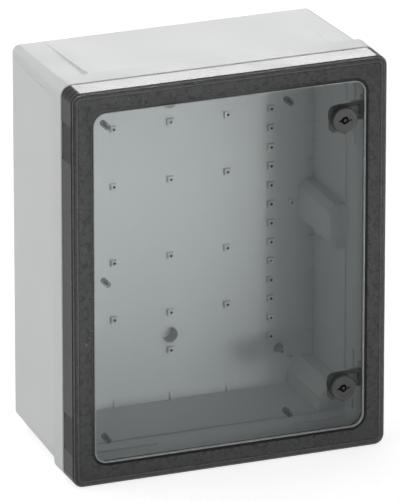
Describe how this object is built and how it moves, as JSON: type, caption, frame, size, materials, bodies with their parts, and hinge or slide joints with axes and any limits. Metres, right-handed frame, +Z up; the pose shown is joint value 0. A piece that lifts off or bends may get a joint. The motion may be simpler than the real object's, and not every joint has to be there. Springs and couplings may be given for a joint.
{
  "type": "electrical cabinet",
  "caption": "Moulded wall cabinet with a tapered body, a hinged smoke-tinted clear door, quarter-turn locks and a back wall set with screw bosses.",
  "frame": {"origin": "centre of the rear mounting plane, midway between the four wall bolt holes", "axes": "+Z up along the height, +Y rearward into the wall, +X to the right seen from the front"},
  "size_m": [0.408, 0.226, 0.506],
  "materials": {
    "shell_plastic": "light grey moulded plastic, fine satin texture",
    "smoke_door": "smoke-tinted clear moulded plastic, polished",
    "seal_rubber": "black foamed rubber",
    "hinge_plastic": "dark grey reinforced plastic",
    "lock_plastic": "dark grey plastic, satin",
    "case_plastic": "black plastic",
    "strike_plastic": "light grey reinforced plastic, satin",
    "pin_steel": "plain steel",
    "screw_steel": "zinc-plated steel",
    "cam_steel": "zinc-plated steel sheet"
  },
  "bodies": {
    "enclosure": {"body_shell": "shell_plastic", "hinge_bracket_upper": "hinge_plastic", "hinge_bracket_lower": "hinge_plastic", "hinge_pin_upper": "pin_steel", "hinge_pin_lower": "pin_steel", "hinge_bracket_screws": "screw_steel", "lock_strike_upper": "strike_plastic", "lock_strike_lower": "strike_plastic", "strike_screws": "screw_steel"},
    "door": {"door_panel": "smoke_door", "door_gasket": "seal_rubber", "hinge_block_upper": "hinge_plastic", "hinge_block_lower": "hinge_plastic", "hinge_block_screws": "screw_steel", "lock_bezel_upper": "lock_plastic", "lock_bezel_lower": "lock_plastic", "lock_seal_upper": "seal_rubber", "lock_seal_lower": "seal_rubber", "lock_nut_upper": "case_plastic", "lock_nut_lower": "case_plastic", "lock_case_upper": "case_plastic", "lock_case_lower": "case_plastic"},
    "upper_lock": {"lock_insert_upper": "lock_plastic", "lock_cam_upper": "cam_steel", "cam_screw_upper": "screw_steel"},
    "lower_lock": {"lock_insert_lower": "lock_plastic", "lock_cam_lower": "cam_steel", "cam_screw_lower": "screw_steel"}
  },
  "joints": [
    {"name": "door_hinge", "type": "hinge", "parent": "enclosure", "child": "door", "pos_m": [-0.2007, -0.1936, 0], "axis": [0, 0, -1], "range_deg": [0, 105]},
    {"name": "upper_lock_turn", "type": "hinge", "parent": "door", "child": "upper_lock", "pos_m": [0.151, -0.19, 0.174], "axis": [0, -1, 0], "range_deg": [0, 90]},
    {"name": "lower_lock_turn", "type": "hinge", "parent": "door", "child": "lower_lock", "pos_m": [0.151, -0.19, -0.174], "axis": [0, -1, 0], "range_deg": [0, 90]}
  ]
}
